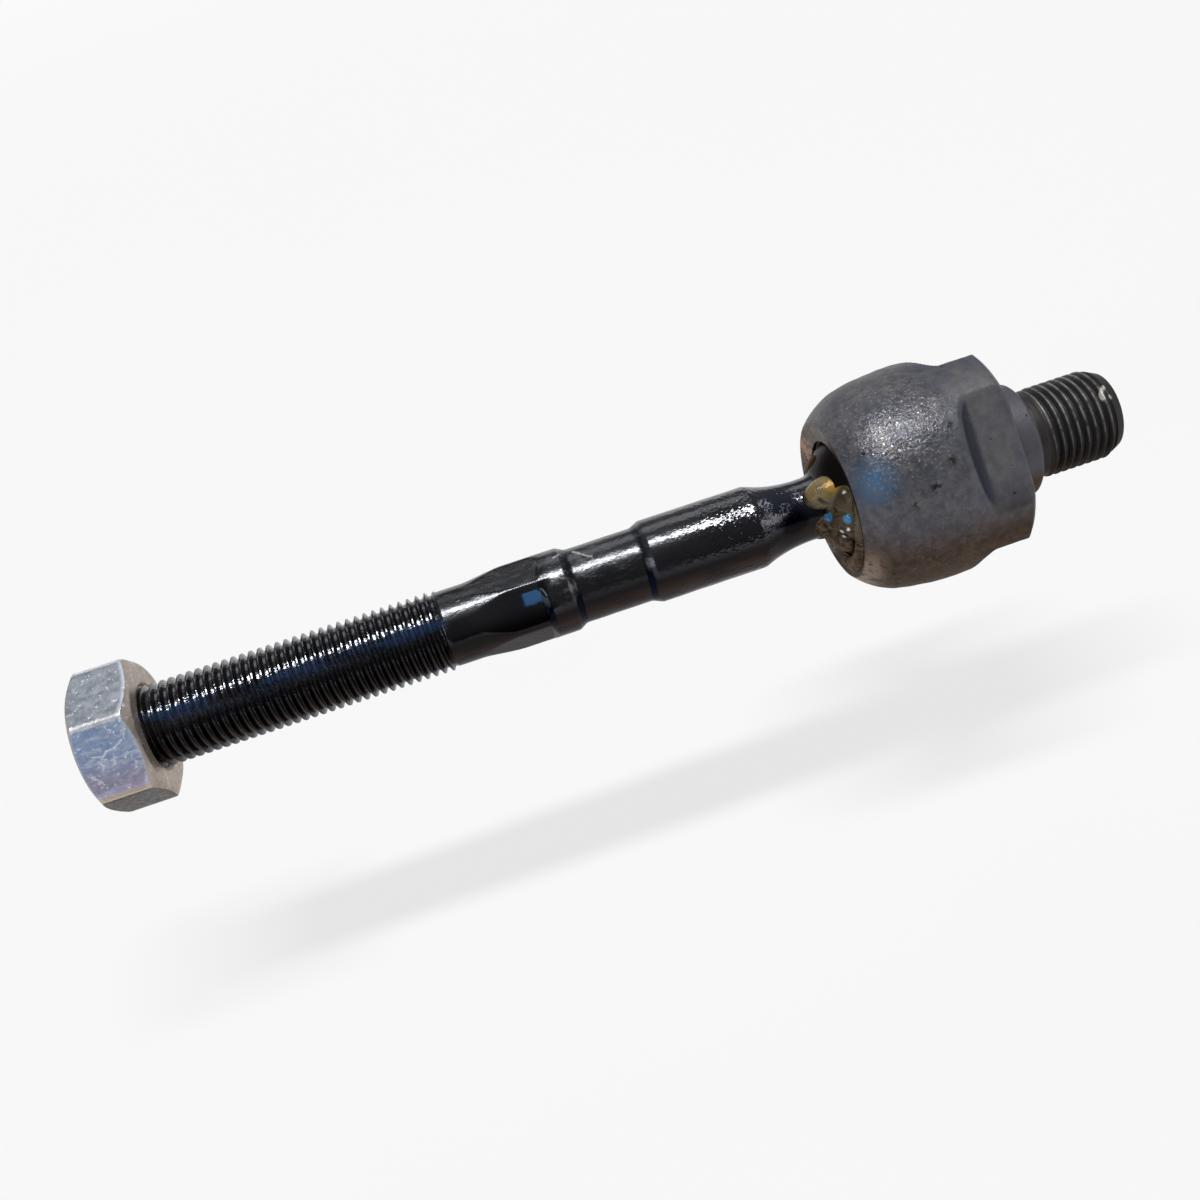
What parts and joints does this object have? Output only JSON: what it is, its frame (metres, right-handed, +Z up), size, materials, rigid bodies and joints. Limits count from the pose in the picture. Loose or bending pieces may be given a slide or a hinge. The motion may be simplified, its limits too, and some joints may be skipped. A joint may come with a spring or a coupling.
{
  "type": "inner tie rod",
  "caption": "Inner tie rod: a threaded rod with a lock nut, held by a ball in a crimped steel socket whose threaded stud screws into a steering rack.",
  "frame": {"origin": "centre of the shoulder face that seats on the steering rack, on the axis of the stud", "axes": "+X along the straight rod and stud, from the lock nut towards the rack; +Z up, square to a flat of the lock nut"},
  "size_m": [0.1805, 0.0378, 0.0378],
  "materials": {
    "housing_steel": "dull blue-black forging oxide, lightly oiled",
    "rod_black": "gloss black coating, wet with oil",
    "nut_zinc": "bright zinc plate",
    "seat_plastic": "natural moulded plastic",
    "spring_steel": "oiled spring steel",
    "grease": "amber grease"
  },
  "bodies": {
    "socket": {"socket_housing": "housing_steel", "bearing_seat": "seat_plastic", "pressure_seat": "seat_plastic", "preload_spring": "spring_steel"},
    "film_front": {"grease_ring": "grease"},
    "film_back": {"grease_cap": "grease"},
    "rod": {"tie_rod": "rod_black"},
    "nut": {"lock_nut": "nut_zinc"}
  },
  "joints": [
    {"name": "swing_y", "type": "hinge", "parent": "socket", "child": "film_front", "pos_m": [-0.0272, 0, 0], "axis": [0, 1, 0], "range_deg": [-21, 21]},
    {"name": "swing_z", "type": "hinge", "parent": "film_front", "child": "film_back", "pos_m": [-0.0272, 0, 0], "axis": [0, 0, 1], "range_deg": [-21, 21]},
    {"name": "rod_spin", "type": "hinge", "parent": "film_back", "child": "rod", "pos_m": [-0.0272, 0, 0], "axis": [1, 0, 0], "continuous": true},
    {"name": "nut_travel", "type": "slide", "parent": "rod", "child": "nut", "axis": [1, 0, 0], "range_m": [0, 0.048]}
  ]
}
